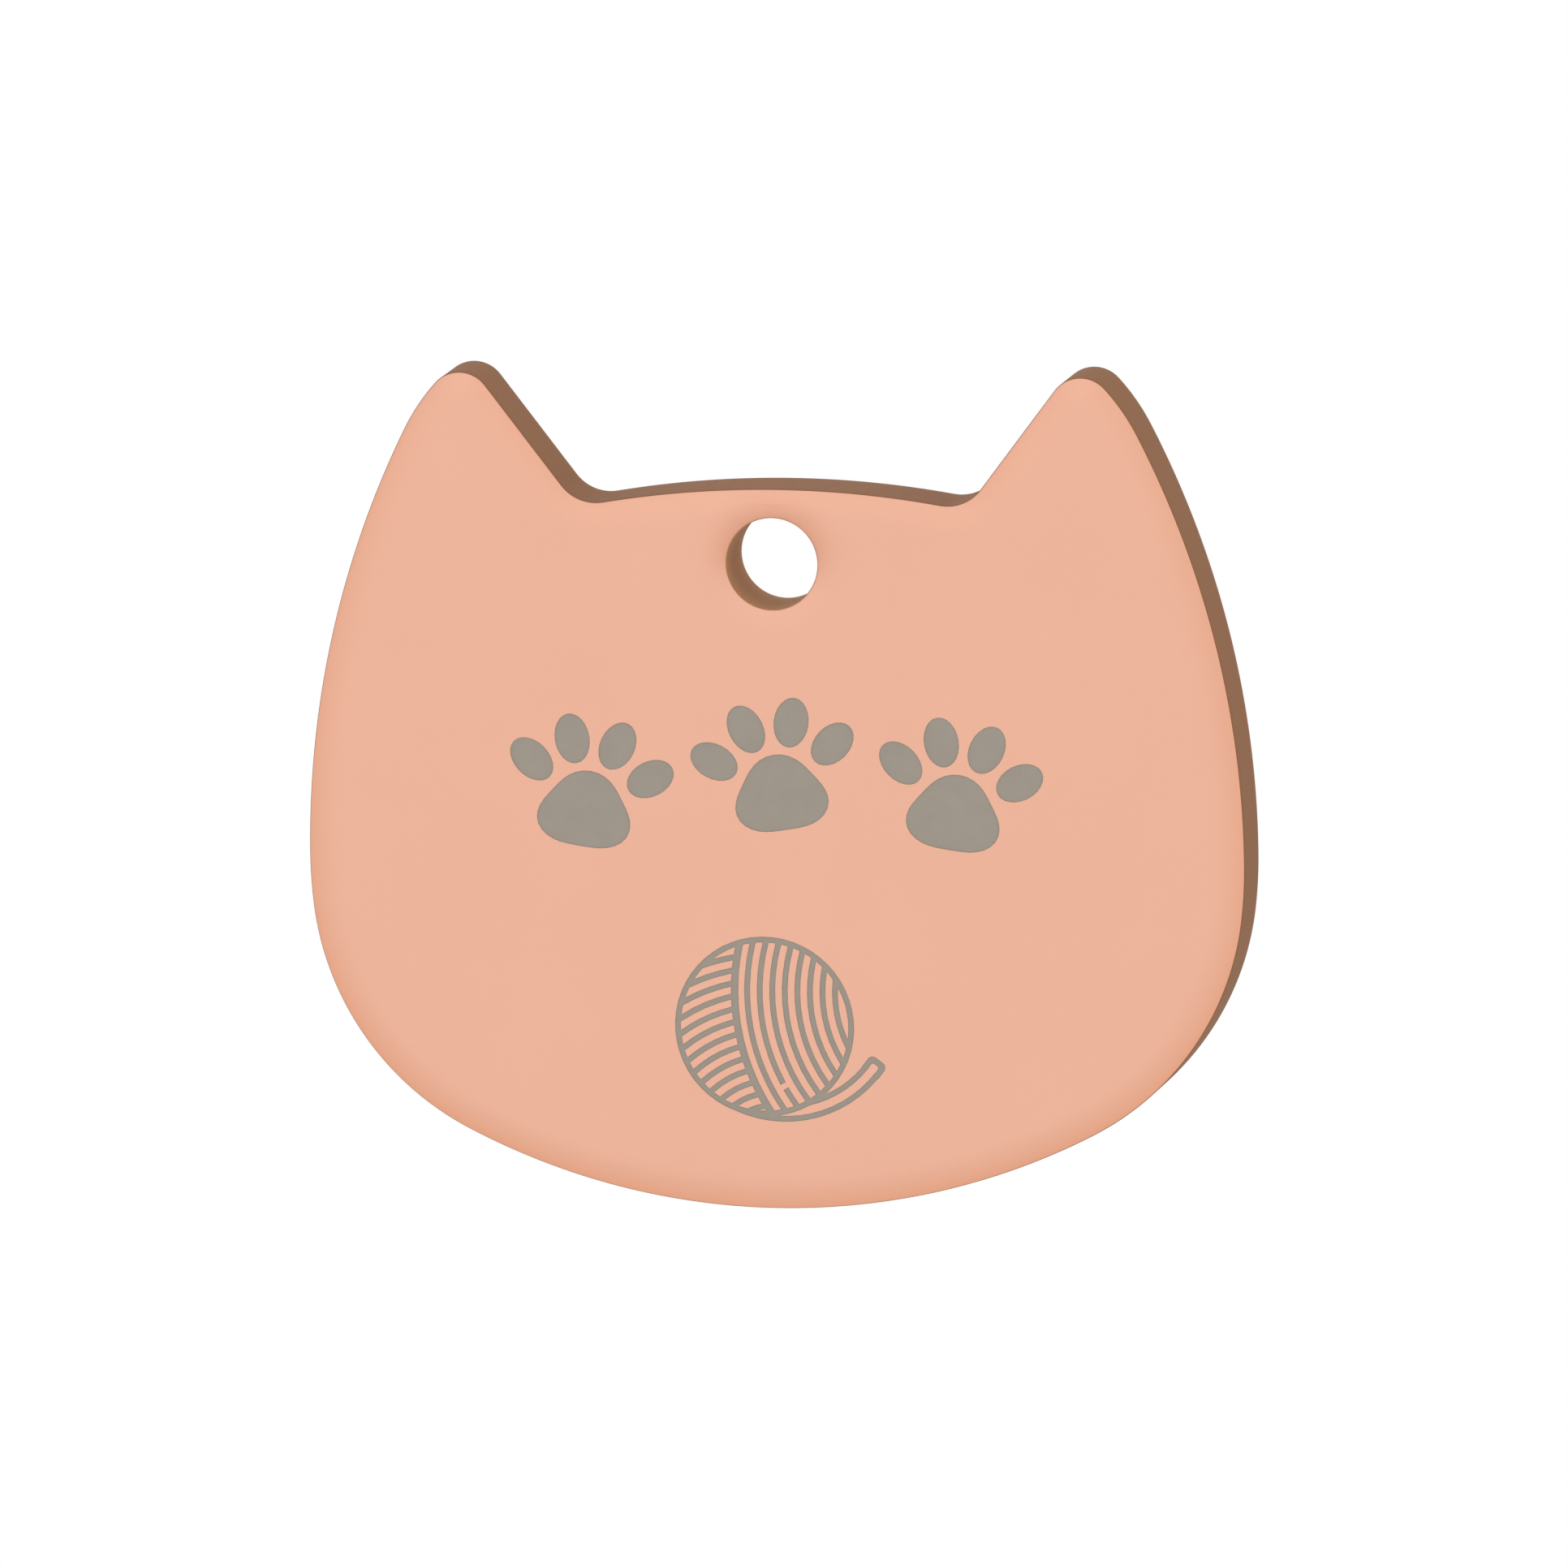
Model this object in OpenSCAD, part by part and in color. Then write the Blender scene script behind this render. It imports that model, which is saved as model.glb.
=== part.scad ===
// Pet id tag: a flat metal plate in the outline of a cat's head, with colour-filled engraving.
// The tag hangs upright. The origin is the centre of its hanging hole, +Z is up,
// the engraved face looks along -Y and +X is to the right of someone facing it.
// Shapes are drawn flat, with their second coordinate as height, and stood up at the end.

/* [Plate] */
// Width of the plate at its widest point
tag_w = 30.9; // [27:0.1:35]
// Thickness of the plate
tag_t = 3; // [1.5:0.1:3.5]
// Depth of the chin below the hole's centre
chin_drop = 21.2; // [19:0.1:24]
// Depth of the widest point, as a share of the chin's depth
widest_share = 0.4575; // [0.42:0.0025:0.5]
// Radius of the chin's arc
chin_r = 22.5; // [20:0.5:26]
// Radius of the arc at each jaw
jaw_r = 9.4; // [8.2:0.1:10.6]
// Radius of the side below the widest point
lower_side_r = 14.9; // [13:0.1:17]
// Radius of the side above the widest point
upper_side_r = 31; // [27:0.5:36]

/* [Ears] */
// Height of the ear tips above the hole's centre
ear_rise = 6.2; // [5.4:0.1:7]
// Radius of an ear's tip
ear_tip_r = 1.07; // [0.8:0.01:1.3]
// Radius of the shoulder that joins an ear's tip to the side
ear_shoulder_r = 6.9; // [5.5:0.1:8.5]
// Distance by which an ear's tip stays inside the curve of the side
ear_tuck = 0.17; // [0.08:0.01:0.4]
// Distance across from an ear's tip to the rounded corner at its foot
ear_run = 4.45; // [4:0.05:4.9]

/* [Brow] */
// Height of the middle of the brow above the hole's centre
brow_rise = 2.45; // [2.3:0.05:2.8]
// Radius of the brow's arc
brow_r = 33; // [28:0.5:40]
// Radius of the rounded corners where the ears meet the brow
corner_r = 1.4; // [0.9:0.05:1.8]

/* [Edges] */
// Width of the soft edge all round both faces
edge_w = 0.95; // [0.5:0.05:1.1]
// Depth by which the soft edge falls away at the side wall
edge_drop = 0.1; // [0.06:0.01:0.25]

/* [Hanging hole] */
// Diameter of the hanging hole
hole_d = 3; // [2.4:0.1:3.4]
// Width of the small bevel at both ends of the hole
hole_bevel = 0.08; // [0.05:0.01:0.25]

/* [Colour fill] */
// Depth of the engraved recesses
recess_d = 0.2; // [0.12:0.01:0.35]
// Depth by which the fill lies below the face
fill_sunk = 0.02; // [0:0.01:0.05]

/* [Paw prints] */
// Depth of the row's centre below the hole's centre, as a share of the chin's depth
paw_drop_share = 0.316; // [0.3:0.002:0.34]
// Gap from one paw print to the next
paw_gap = 0.64; // [0.4:0.02:0.9]
// Width of the main pad
pad_w = 3; // [2.6:0.1:3.4]
// Height of the main pad
pad_h = 2.5; // [2.1:0.1:2.7]
// Width of a toe
toe_w = 1.15; // [0.8:0.05:1.25]
// Length of a toe
toe_h = 1.65; // [1.2:0.05:1.75]
// Gap between the main pad and the toes
toe_gap = 0.25; // [0.15:0.01:0.35]
// Angle from one toe to the next
toe_step = 36; // [34:1:38]
// Angle by which the paw prints lean, each the other way from the last
paw_lean = 9; // [0:1:14]
// Height by which the prints are staggered about the row's centre
paw_stagger = 0.6; // [0:0.05:0.8]

/* [Yarn ball] */
// Depth of the ball's centre below the hole's centre, as a share of the chin's depth
ball_drop_share = 0.717; // [0.7:0.001:0.73]
// Distance of the ball's centre to the left of the tag's middle
ball_left = 0.45; // [0:0.05:1]
// Outer diameter of the ball
ball_d = 5.92; // [5.4:0.02:6.4]
// Width of an engraved strand
strand_w = 0.19; // [0.16:0.01:0.22]
// Distance from one strand to the next
strand_pitch = 0.415; // [0.38:0.005:0.46]
// Width of the broad strand that divides the ball
divider_w = 0.24; // [0.2:0.01:0.28]
// Width of the loose end, across both its lines
tail_w = 0.64; // [0.54:0.02:0.76]
// Radius of the loose end's curve, at the middle of its width
tail_r = 3.7; // [3.3:0.05:4.1]

/* [Hidden] */

// Cuts run past the faces that they cut by this much.
overrun = 0.5;
// Largest distance between a rounded outline and the straight facets that stand for it.
facet_sag = 0.005;
// Facets of the true round forms, which come out as exact circles.
round_facets = 96;
// Steps across the soft edge.
edge_steps = 4;
// The soft edge takes at most this share of the ear tips' round.
edge_limit_share = 0.9;
edge_run = min(edge_w, ear_tip_r * edge_limit_share);
edge_arc_r = (edge_run * edge_run + edge_drop * edge_drop) / (2 * edge_drop);

// Colours of the finish
plate_colour = [0.933, 0.714, 0.616];
fill_colour = [0.627, 0.592, 0.541];

// Half a turn, in degrees
half_turn = 180;
// Number of paw prints, and of the toes on each
paw_count = 3;
toe_count = 4;
// The main pad is a circle pinched in three places by this share of its radius.
pad_pinch_share = 0.1;
pad_facets = 40;
toe_facets = 24;
// Distance from the main pad's centre to the toes' centres
toe_reach = (1 + pad_pinch_share) * pad_h / 2 + toe_gap + toe_h / 2;
// The outermost toes set the width of a print, and so the distance from one to the next.
toe_spread = (toe_count - 1) / 2 * toe_step;
paw_w = 2 * (toe_reach * sin(toe_spread) + norm([toe_h * sin(toe_spread), toe_w * cos(toe_spread)]) / 2);
paw_pitch = paw_w + paw_gap;
paw_drop = paw_drop_share * chin_drop;

// The ball's strands are arcs about two centres, placed in shares of the ball's outer radius.
ball_r = ball_d / 2;
ball_drop = ball_drop_share * chin_drop;
divider_centre_shares = [2.1, 0.37];
divider_r_share = 2.43;
cross_centre_shares = [0.08, -1.47];
cross_r_share = 2.275;
divider_centre = ball_r * divider_centre_shares;
divider_r = ball_r * divider_r_share;
cross_centre = ball_r * cross_centre_shares;
cross_first_r = ball_r * cross_r_share;
cross_count = 13;
long_count = 8;
// One long strand, counted from the divider, is broken by a short gap at this depth.
broken_strand = 2;
broken_drop_share = 0.66;
broken_drop = ball_r * broken_drop_share;
// The loose end leaves the ball's outline in one direction and ends in another. Its outer edge
// starts this little inside the outline. Its end is a square with rounded corners, a little
// broader than the rest.
tail_start_angle = 235;
tail_end_angle = -37;
tail_cut_share = 0.15;
tail_swell_share = 1.05;
tail_round_share = 0.3;
tail_centre_reach = tail_r + tail_w / 2 - ball_r + tail_cut_share * strand_w;

// A direction as a unit vector, and the angle of a vector
function along(a) = [cos(a), sin(a)];
function angle_of(v) = atan2(v.y, v.x);

// Where circles about c0 and c1 meet, on the right of the way from c0 to c1
function circles_meet(c0, r0, c1, r1) =
    let (
        v = c1 - c0,
        d = norm(v),
        u = v / d,
        a = (r0 * r0 - r1 * r1 + d * d) / (2 * d),
        h = sqrt(r0 * r0 - a * a)
    )
    c0 + a * u + h * [u.y, -u.x];

// Points along an arc with their outward normals, as [point, normal]. The last point is left to
// the next arc. A hollow arc, whose centre lies outside the plate, has its normals turned round.
function arc(c, r, a0, a1, hollow = false) =
    let (
        steps = max(1, ceil(abs(a1 - a0) / (2 * acos(1 - facet_sag / r))))
    )
    [for (i = [0 : steps - 1])
        let (a = a0 + (a1 - a0) * i / steps)
        [c + r * along(a), (hollow ? -1 : 1) * along(a)]];

// The plate's right half, from the chin up to the brow, is a chain of arcs that meet smoothly.
// Each centre follows from the arcs that it lies between.
widest_drop = widest_share * chin_drop;
chin_c = [0, chin_r - chin_drop];
lower_c = [tag_w / 2 - lower_side_r, -widest_drop];
upper_c = [tag_w / 2 - upper_side_r, -widest_drop];
jaw_c = circles_meet(lower_c, lower_side_r - jaw_r, chin_c, chin_r - jaw_r);
tip_y = ear_rise - ear_tip_r;
tip_c = [upper_c.x + sqrt(pow(upper_side_r - ear_tip_r - ear_tuck, 2) - pow(tip_y - upper_c.y, 2)), tip_y];
shoulder_c = circles_meet(upper_c, upper_side_r - ear_shoulder_r, tip_c, ear_shoulder_r - ear_tip_r);
brow_c = [0, brow_rise - brow_r];
corner_x = tip_c.x - ear_run;
corner_c = [corner_x, brow_c.y + sqrt(pow(brow_r + corner_r, 2) - pow(corner_x, 2))];
// The ear's inner flank is the straight line that touches the tip and the corner on opposite sides.
flank_a = angle_of(tip_c - corner_c) - acos((ear_tip_r + corner_r) / norm(tip_c - corner_c));
brow_a = angle_of(corner_c - brow_c);

half_outline = concat(
    arc(chin_c, chin_r, -90, angle_of(jaw_c - chin_c)),
    arc(jaw_c, jaw_r, angle_of(jaw_c - chin_c), angle_of(jaw_c - lower_c)),
    arc(lower_c, lower_side_r, angle_of(jaw_c - lower_c), 0),
    arc(upper_c, upper_side_r, 0, angle_of(shoulder_c - upper_c)),
    arc(shoulder_c, ear_shoulder_r, angle_of(shoulder_c - upper_c), angle_of(tip_c - shoulder_c)),
    arc(tip_c, ear_tip_r, angle_of(tip_c - shoulder_c), flank_a + half_turn),
    [[tip_c - ear_tip_r * along(flank_a), -along(flank_a)]],
    arc(corner_c, corner_r, flank_a, brow_a - half_turn, hollow = true),
    arc(brow_c, brow_r, brow_a, 90)
);
brow_middle = [[[0, brow_rise], [0, 1]]];
mirrored_half = [for (i = [len(half_outline) - 1 : -1 : 1])
    [for (v = half_outline[i]) [-v.x, v.y]]];
outline = concat(half_outline, brow_middle, mirrored_half);

// The soft edge as pairs of inset and depth, from the wall to the flat of the face: a shallow arc
// that ends level with the face.
edge_profile = [for (i = [0 : edge_steps])
    let (inset = edge_run * i / edge_steps)
    [inset, edge_arc_r - sqrt(pow(edge_arc_r, 2) - pow(edge_run - inset, 2))]];
rings = concat(
    [for (i = [edge_steps : -1 : 0]) [edge_profile[i].x, edge_profile[i].y - tag_t / 2]],
    [for (p = edge_profile) [p.x, tag_t / 2 - p.y]]
);

// Plate without its cuts: the outline drawn in by each ring's inset, stacked from back to front
module plate_blank() {
    n = len(outline);
    points = [for (ring = rings, p = outline)
        let (q = p[0] - ring.x * p[1])
        [q.x, q.y, ring.y]];
    walls = [for (j = [0 : len(rings) - 2], i = [0 : n - 1])
        let (k = (i + 1) % n)
        [j * n + i, (j + 1) * n + i, (j + 1) * n + k, j * n + k]];
    back = [for (i = [0 : n - 1]) i];
    front = [for (i = [n - 1 : -1 : 0]) (len(rings) - 1) * n + i];
    polyhedron(points, concat([back], walls, [front]), convexity = 6);
}

// Hanging hole with a bevel at each end
module hanging_hole() {
    cylinder(h = tag_t + 2 * overrun, d = hole_d, center = true, $fn = round_facets);
    for (side = [0, 1])
        mirror([0, 0, side])
            translate([0, 0, tag_t / 2 - hole_bevel])
                cylinder(h = hole_bevel + overrun, r1 = hole_d / 2,
                    r2 = hole_d / 2 + hole_bevel + overrun, $fn = round_facets);
}

// Main pad of a paw print: a rounded triangle, broad side down
module pad() {
    polygon([for (i = [0 : pad_facets - 1])
        let (
            a = 360 * i / pad_facets,
            r = 1 - pad_pinch_share * sin(3 * a)
        )
        [r * cos(a) * pad_w / 2, r * sin(a) * pad_h / 2]]);
}

// One toe, an oval that points away from the main pad
module toe() {
    polygon([for (i = [0 : toe_facets - 1])
        let (a = 360 * i / toe_facets)
        [toe_w / 2 * cos(a), toe_h / 2 * sin(a)]]);
}

// Paw print: a main pad with a fan of toes above it
module paw_print() {
    translate([0, -toe_reach / 2]) {
        pad();
        for (i = [0 : toe_count - 1])
            rotate((i - (toe_count - 1) / 2) * toe_step)
                translate([0, toe_reach])
                    toe();
    }
}

// Paw print number i of the row, in its place
module placed_paw(i) {
    side = i % 2 == 0 ? 1 : -1;
    translate([(i - (paw_count + 1) / 2) * paw_pitch, side * paw_stagger / 2 - paw_drop])
        rotate(side * paw_lean)
            paw_print();
}

// A band of the given width that follows a circle of radius r
module band(r, w) {
    difference() {
        circle(r = r + w / 2, $fn = round_facets);
        circle(r = r - w / 2, $fn = round_facets);
    }
}

// The part of the ball to the left of the divider's middle line
module left_of_divider() {
    difference() {
        circle(r = ball_r - strand_w / 2, $fn = round_facets);
        translate(divider_centre)
            circle(r = divider_r, $fn = round_facets);
    }
}

// The strands that cross the left of the ball
module cross_strands() {
    intersection() {
        left_of_divider();
        translate(cross_centre)
            for (i = [0 : cross_count - 1])
                band(cross_first_r - i * strand_pitch, strand_w);
    }
}

// The divider and the long strands to its right, which share its centre
module long_strands() {
    intersection() {
        circle(r = ball_r - strand_w / 2, $fn = round_facets);
        translate(divider_centre)
            difference() {
                union() {
                    band(divider_r, divider_w);
                    for (i = [1 : long_count])
                        band(divider_r - i * strand_pitch, strand_w);
                }
                strand_gap();
            }
    }
}

// The short gap in the broken strand, about the divider's centre
module strand_gap() {
    r = divider_r - broken_strand * strand_pitch;
    rotate(half_turn + asin((divider_centre.y + broken_drop) / r))
        translate([r, 0])
            square([2 * strand_w, strand_w], center = true);
}

// The loose end: two lines that leave the ball's foot side by side and close in a blunt end
module tail() {
    difference() {
        tail_shape(tail_w);
        circle(r = ball_r - strand_w / 2, $fn = round_facets);
        tail_shape(tail_w - 2 * strand_w);
    }
}

// The loose end at a whole width of w: a stretch of a band, closed by a rounded square
module tail_shape(w) {
    end_w = w * tail_swell_share;
    end_r = w * tail_round_share;
    translate(tail_centre_reach * along(tail_start_angle - half_turn)) {
        intersection() {
            band(tail_r, w);
            rotate(tail_start_angle)
                translate([-2 * tail_r, 0])
                    square([4 * tail_r, 2 * tail_r]);
            rotate(tail_end_angle)
                translate([-2 * tail_r, -2 * tail_r])
                    square([4 * tail_r, 2 * tail_r]);
        }
        rotate(tail_end_angle)
            translate([tail_r, 0])
                offset(r = end_r, $fn = toe_facets)
                    square(end_w - 2 * end_r, center = true);
    }
}

// Ball of yarn with its loose end, in its place
module placed_ball() {
    translate([-ball_left, -ball_drop]) {
        band(ball_r - strand_w / 2, strand_w);
        cross_strands();
        long_strands();
        tail();
    }
}

// Stands a flat drawing up, with its front towards -Y
module stood_up() {
    rotate([90, 0, 0])
        children();
}

// A recess in the front face with the outline of its child
module recess() {
    translate([0, 0, tag_t / 2 - recess_d])
        linear_extrude(recess_d + overrun)
            children();
}

// A fill that lies on the recess's floor with the outline of its child
module fill() {
    color(fill_colour)
        stood_up()
            translate([0, 0, tag_t / 2 - recess_d])
                linear_extrude(recess_d - fill_sunk)
                    children();
}

module tag_plate() {
    color(plate_colour)
        stood_up()
            difference() {
                plate_blank();
                hanging_hole();
                for (i = [1 : paw_count])
                    recess()
                        placed_paw(i);
                recess()
                    placed_ball();
            }
}

module paw_fill(i) {
    fill()
        placed_paw(i);
}

module yarn_ball_fill() {
    fill()
        placed_ball();
}

tag_plate();
paw_fill(1);  // paw_fill_1
paw_fill(2);  // paw_fill_2
paw_fill(3);  // paw_fill_3
yarn_ball_fill();
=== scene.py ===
"""Looks of a pet id tag: a flat cat-head plate in satin rose gold with grey enamel in its engraving.

The plate is rebuilt here as one closed surface with rolled edges, a dished hanging hole and the
recesses of the engraving. The enamel fills are the frame's own pieces. Lengths of the tag and of
its finishes are millimetres, and those of the studio are metres unless their name says otherwise.
The tag hangs upright: +X is to the right of someone facing it, +Z is up, and the engraved face
looks along -Y. Flat drawings have X as their first and Z as their second coordinate.
"""

from __future__ import annotations

import logging
import math
from dataclasses import dataclass, field
from enum import IntEnum

import bmesh
import bpy
import numpy as np
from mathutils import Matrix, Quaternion, Vector, geometry
from numpy.typing import NDArray

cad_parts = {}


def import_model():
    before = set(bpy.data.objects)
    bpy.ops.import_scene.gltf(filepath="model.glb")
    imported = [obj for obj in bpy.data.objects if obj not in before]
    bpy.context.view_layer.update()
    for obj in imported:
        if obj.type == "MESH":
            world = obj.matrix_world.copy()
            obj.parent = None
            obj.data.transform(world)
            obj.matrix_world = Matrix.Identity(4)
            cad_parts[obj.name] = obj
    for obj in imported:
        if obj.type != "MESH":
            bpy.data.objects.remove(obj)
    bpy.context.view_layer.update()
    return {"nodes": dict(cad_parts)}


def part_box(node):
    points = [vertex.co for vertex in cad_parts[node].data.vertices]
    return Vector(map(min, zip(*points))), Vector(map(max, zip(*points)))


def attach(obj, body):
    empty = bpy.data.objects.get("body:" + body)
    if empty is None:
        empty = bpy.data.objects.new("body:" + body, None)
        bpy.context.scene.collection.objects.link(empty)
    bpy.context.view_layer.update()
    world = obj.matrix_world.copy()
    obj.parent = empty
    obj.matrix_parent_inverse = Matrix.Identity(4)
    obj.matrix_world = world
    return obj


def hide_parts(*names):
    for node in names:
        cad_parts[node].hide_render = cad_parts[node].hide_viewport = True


LOG = logging.getLogger("pet_id_tag")
METRES_PER_MM = 0.001
PAIRS_AT_ONCE = 4_000_000

Points = NDArray[np.float64]
Faces = NDArray[np.int64]
Marks = NDArray[np.bool_]
Pair = tuple[float, float]
Triple = tuple[float, float, float]
Colour = Triple
Socket = bpy.types.NodeSocket


class PaintedShade(IntEnum):
    """The places where shade is painted into the colour, in the order of their columns."""

    EDGE = 0
    HOLE = 1


class Zone(IntEnum):
    """The parts of the plate with their own material, wall and bore in painted shade, in slot order.
    """

    FACE = 0
    WALL = 1
    BORE = 2


def unit(angle: float | Points) -> Points:
    """Gives the unit vector of each angle, in radians counterclockwise from the first axis."""
    return np.stack([np.cos(angle), np.sin(angle)], axis=-1)


def circle(count: int) -> Points:
    """Gives unit vectors evenly round a circle."""
    return unit(np.linspace(0.0, math.tau, count, endpoint=False))


def angle_of(vector: Points) -> float:
    """Gives the angle of a vector in radians, counterclockwise from the first axis."""
    return math.atan2(vector[1], vector[0])


def direction(azimuth: float, elevation: float) -> Vector:
    """Gives the direction in space from the tag towards a lamp or the camera.

    Args:
        azimuth: Degrees to the right of someone facing the tag.
        elevation: Degrees above the horizon.

    Returns:
        The unit vector.
    """
    turn, rise = math.radians(azimuth), math.radians(elevation)
    return Vector(
        (math.sin(turn) * math.cos(rise), -math.cos(turn) * math.cos(rise), math.sin(rise))
    )


def circles_meet(centre_0: Points, radius_0: float, centre_1: Points, radius_1: float) -> Points:
    """Finds where two circles meet, on the right of the way from the first centre to the second.

    Args:
        centre_0: Centre of the first circle.
        radius_0: Radius of the first circle.
        centre_1: Centre of the second circle.
        radius_1: Radius of the second circle.

    Returns:
        The meeting point.
    """
    way = centre_1 - centre_0
    distance = float(np.hypot(*way))
    ahead = way / distance
    reach = (radius_0**2 - radius_1**2 + distance**2) / (2 * distance)
    rise = math.sqrt(radius_0**2 - reach**2)
    return centre_0 + reach * ahead + rise * np.array([ahead[1], -ahead[0]])


def smooth_step(share: Points) -> Points:
    """Eases from 0 to 1, level at both ends: share squared times three less twice the share."""
    held = np.clip(share, 0.0, 1.0)
    return held * held * (3 - 2 * held)


def blocks(points: Points, partners: int) -> list[Points]:
    """Splits points into blocks small enough to pair each point with all its partners at once."""
    return np.array_split(points, max(1, len(points) * partners // PAIRS_AT_ONCE))


def inside(points: Points, starts: Points, ends: Points) -> Marks:
    """Tells which points lie inside closed outlines.

    A ray from the point towards +X crosses the outlines an odd number of times from inside.

    Args:
        points: The points.
        starts: Where each straight stretch of the outlines starts.
        ends: Where it ends.

    Returns:
        True for each point that lies inside.
    """
    found = []
    for block in blocks(points, len(starts)):
        z = block[:, 1:2]
        spans = (starts[:, 1] > z) != (ends[:, 1] > z)
        rise = np.where(ends[:, 1] == starts[:, 1], 1.0, ends[:, 1] - starts[:, 1])
        cross = starts[:, 0] + (z - starts[:, 1]) / rise * (ends[:, 0] - starts[:, 0])
        found.append((spans & (cross > block[:, :1])).sum(axis=1) % 2 == 1)
    return np.concatenate(found)


def inside_loop(points: Points, loop: Points) -> Marks:
    """Tells which points lie inside a closed loop of points."""
    return inside(points, loop, np.roll(loop, -1, axis=0))


def closed_edges(count: int) -> Faces:
    """Gives the pairs of neighbours of a closed loop of points, each as its two numbers."""
    first = np.arange(count)
    return np.column_stack([first, (first + 1) % count])


def band_quads(rings: int, count: int) -> Faces:
    """Gives the quads between closed rings of points that are stored ring after ring.

    Args:
        rings: Number of rings.
        count: Number of points on each.

    Returns:
        The quads, each from a ring to the next and on to the next point.
    """
    ring, spot = np.meshgrid(np.arange(rings - 1), np.arange(count), indexing="ij")
    here, there = ring * count + spot, ring * count + (spot + 1) % count
    return np.stack([here, here + count, there + count, there], axis=-1).reshape(-1, 4)


def band_zones(rings: int, count: int, reach: int, between: Zone) -> Faces:
    """Gives the zone of each quad of a band that joins the plate's two faces.

    Args:
        rings: Number of rings of points.
        count: Number of points on each.
        reach: How many rings of quads at each end have the face's finish.
        between: Zone of the quads between them.

    Returns:
        The zones, in the order of band_quads.
    """
    ring = np.repeat(np.arange(rings - 1), count)
    on_face = (ring < reach) | (ring >= rings - 1 - reach)
    return np.where(on_face, int(Zone.FACE), int(between))


def as_quads(triangles: Faces) -> Faces:
    """Gives each triangle as a quad that has its last corner twice."""
    return np.column_stack([triangles, triangles[:, 2]])


def sides_of(triangles: Faces) -> Faces:
    """Gives the sides of triangles as pairs of corners: all first sides, then second, then third."""
    return np.concatenate([triangles[:, [0, 1]], triangles[:, [1, 2]], triangles[:, [2, 0]]])


@dataclass(frozen=True)
class Arc:
    """One stretch of the outline: an arc, hollow where its centre lies outside the plate."""

    centre: Points
    radius: float
    start: float
    end: float
    hollow: bool = False

    def sample(self, step: float) -> tuple[Points, Points]:
        """Places points evenly along the arc, its last point left to the next stretch.

        Args:
            step: Largest distance between points.

        Returns:
            The points, and the plate's outward normal at each.
        """
        count = max(2, math.ceil(abs(self.end - self.start) * self.radius / step))
        ray = unit(np.linspace(self.start, self.end, count, endpoint=False))
        return self.centre + self.radius * ray, -ray if self.hollow else ray


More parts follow.
